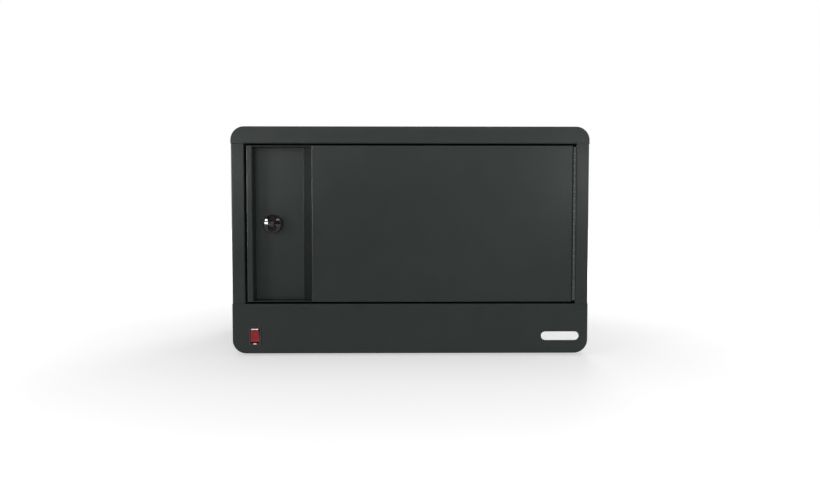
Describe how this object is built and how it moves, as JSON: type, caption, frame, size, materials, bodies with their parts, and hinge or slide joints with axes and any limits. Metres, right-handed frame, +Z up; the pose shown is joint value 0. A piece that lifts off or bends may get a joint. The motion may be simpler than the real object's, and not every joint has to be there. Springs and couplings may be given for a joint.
{
  "type": "tablet charging station",
  "caption": "Lockable steel table-top cabinet that stores tablets on edge in bays and charges them, with a hinged recessed front door, a cam lock and a mains switch.",
  "frame": {"origin": "under the middle of the case, on the surface that its feet stand on", "axes": "+X to the right and +Y to the back as seen from the front, +Z up"},
  "size_m": [0.711, 0.43, 0.457],
  "materials": {
    "powder_coat": "fine-textured charcoal powder coat",
    "divider_coat": "smooth grey powder coat",
    "zinc_plate": "bright zinc",
    "hinge_steel": "black painted steel, slightly worn",
    "rubber": "matt",
    "black_plastic": "satin",
    "strip_plastic": "satin",
    "outlet_plastic": "satin",
    "brass": "nickelled brass blades",
    "lamp_glass": "clear, slightly orange",
    "red_lens": "glossy translucent red",
    "badge_white": "glossy white, bare",
    "gloss_black": "glossy black, polished",
    "lock_metal": "dark polished"
  },
  "bodies": {
    "cabinet": {"top_cover": "powder_coat", "base_shell": "powder_coat", "left_side_panel": "powder_coat", "back_panel": "powder_coat", "back_panel_screws": "zinc_plate", "bay_shelf": "powder_coat", "bay_mats": "rubber", "cable_partition": "powder_coat", "cable_slot_trim": "rubber", "power_inlet": "black_plastic", "inlet_pins": "brass", "inlet_screws": "zinc_plate", "switch_housing": "black_plastic", "switch_lamp": "lamp_glass", "switch_terminals": "brass", "badge_plate": "badge_white", "rubber_feet": "rubber", "hinge_frame_leaf": "hinge_steel", "latch_strike": "zinc_plate", "door_bumpers": "rubber", "right_side_panel": "powder_coat", "lower_outlet_strip": "strip_plastic", "lower_outlets": "outlet_plastic", "upper_outlet_strip": "strip_plastic", "upper_outlets": "outlet_plastic", "divider_01": "divider_coat", "divider_02": "divider_coat", "divider_03": "divider_coat", "divider_04": "divider_coat", "divider_05": "divider_coat", "divider_06": "divider_coat", "divider_07": "divider_coat", "divider_08": "divider_coat", "divider_09": "divider_coat", "divider_10": "divider_coat", "divider_11": "divider_coat"},
    "door": {"door_panel": "powder_coat", "door_liner": "powder_coat", "hinge_door_leaf": "hinge_steel", "hinge_pin": "hinge_steel", "lock_barrel": "gloss_black", "lock_nut": "zinc_plate"},
    "knob": {"lock_knob": "gloss_black", "lock_cam": "zinc_plate", "cam_screw": "zinc_plate"},
    "key": {"key_plug": "lock_metal"},
    "switch_rocker": {"rocker": "red_lens"}
  },
  "joints": [
    {"name": "door_hinge", "type": "hinge", "parent": "cabinet", "child": "door", "pos_m": [0.3257, -0.2106, 0.264], "axis": [0, 0, 1], "range_deg": [0, 170]},
    {"name": "knob_turn", "type": "hinge", "parent": "door", "child": "knob", "pos_m": [-0.2762, -0.178, 0.264], "axis": [0, 1, 0], "range_deg": [0, 90]},
    {"name": "key_turn", "type": "hinge", "parent": "knob", "child": "key", "pos_m": [-0.2762, -0.207, 0.264], "axis": [0, 1, 0], "range_deg": [0, 90]},
    {"name": "rocker_tilt", "type": "hinge", "parent": "cabinet", "child": "switch_rocker", "pos_m": [-0.3103, -0.207, 0.0415], "axis": [-1, 0, 0], "range_deg": [0, 20]}
  ]
}
